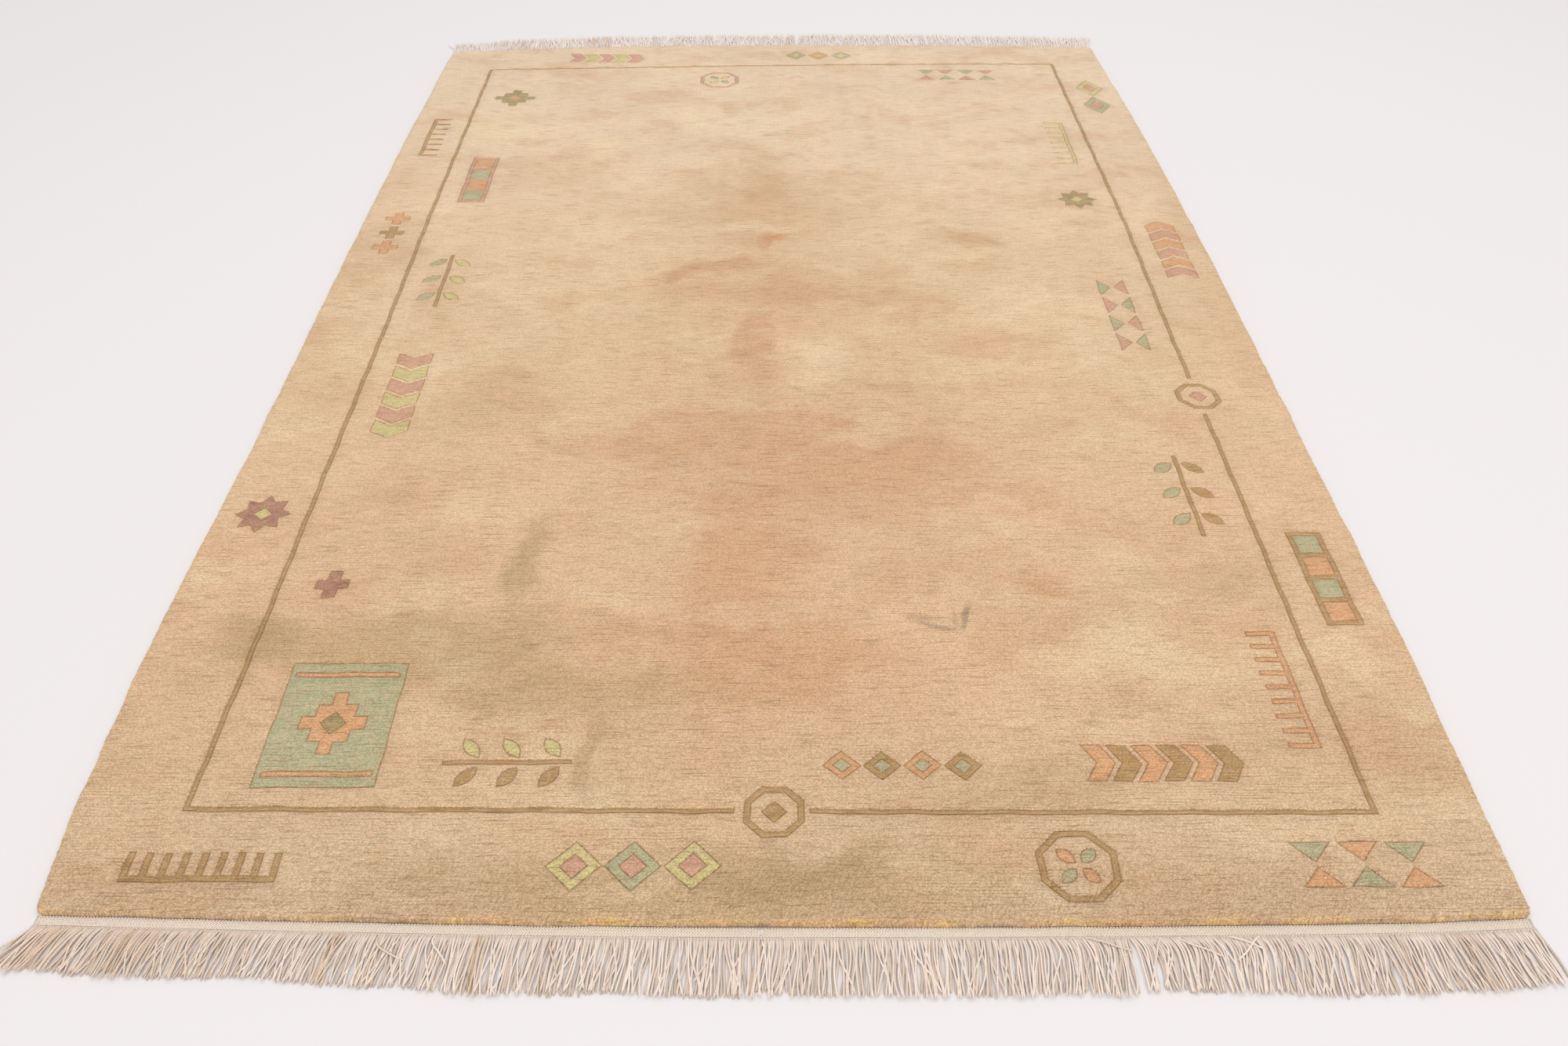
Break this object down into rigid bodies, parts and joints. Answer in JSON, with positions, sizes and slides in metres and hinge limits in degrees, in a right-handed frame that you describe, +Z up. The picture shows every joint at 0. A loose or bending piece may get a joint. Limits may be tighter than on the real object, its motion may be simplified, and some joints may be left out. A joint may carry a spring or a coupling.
{
  "type": "nepalese rug",
  "caption": "Rectangular hand-knotted wool rug with a thin carved frame line, small carved geometric motifs and a sewn-on cotton fringe along both short ends.",
  "frame": {"origin": "on the floor, under the middle of the whole part's box, fringes included", "axes": "+X across the rug, +Y along it from the front end to the back end, +Z up out of the pile"},
  "size_m": [2.0556, 3.2836, 0.013],
  "materials": {
    "wool_pile": "cut wool pile in faded beige with carved outlines and muted green, rose, peach and olive inlays",
    "cotton_fringe": "undyed matt cotton, a knitted header tape with loosely twisted cords"
  },
  "bodies": {
    "root": {"rug_body": "wool_pile", "fringe_front": "cotton_fringe", "fringe_back": "cotton_fringe"}
  },
  "joints": []
}
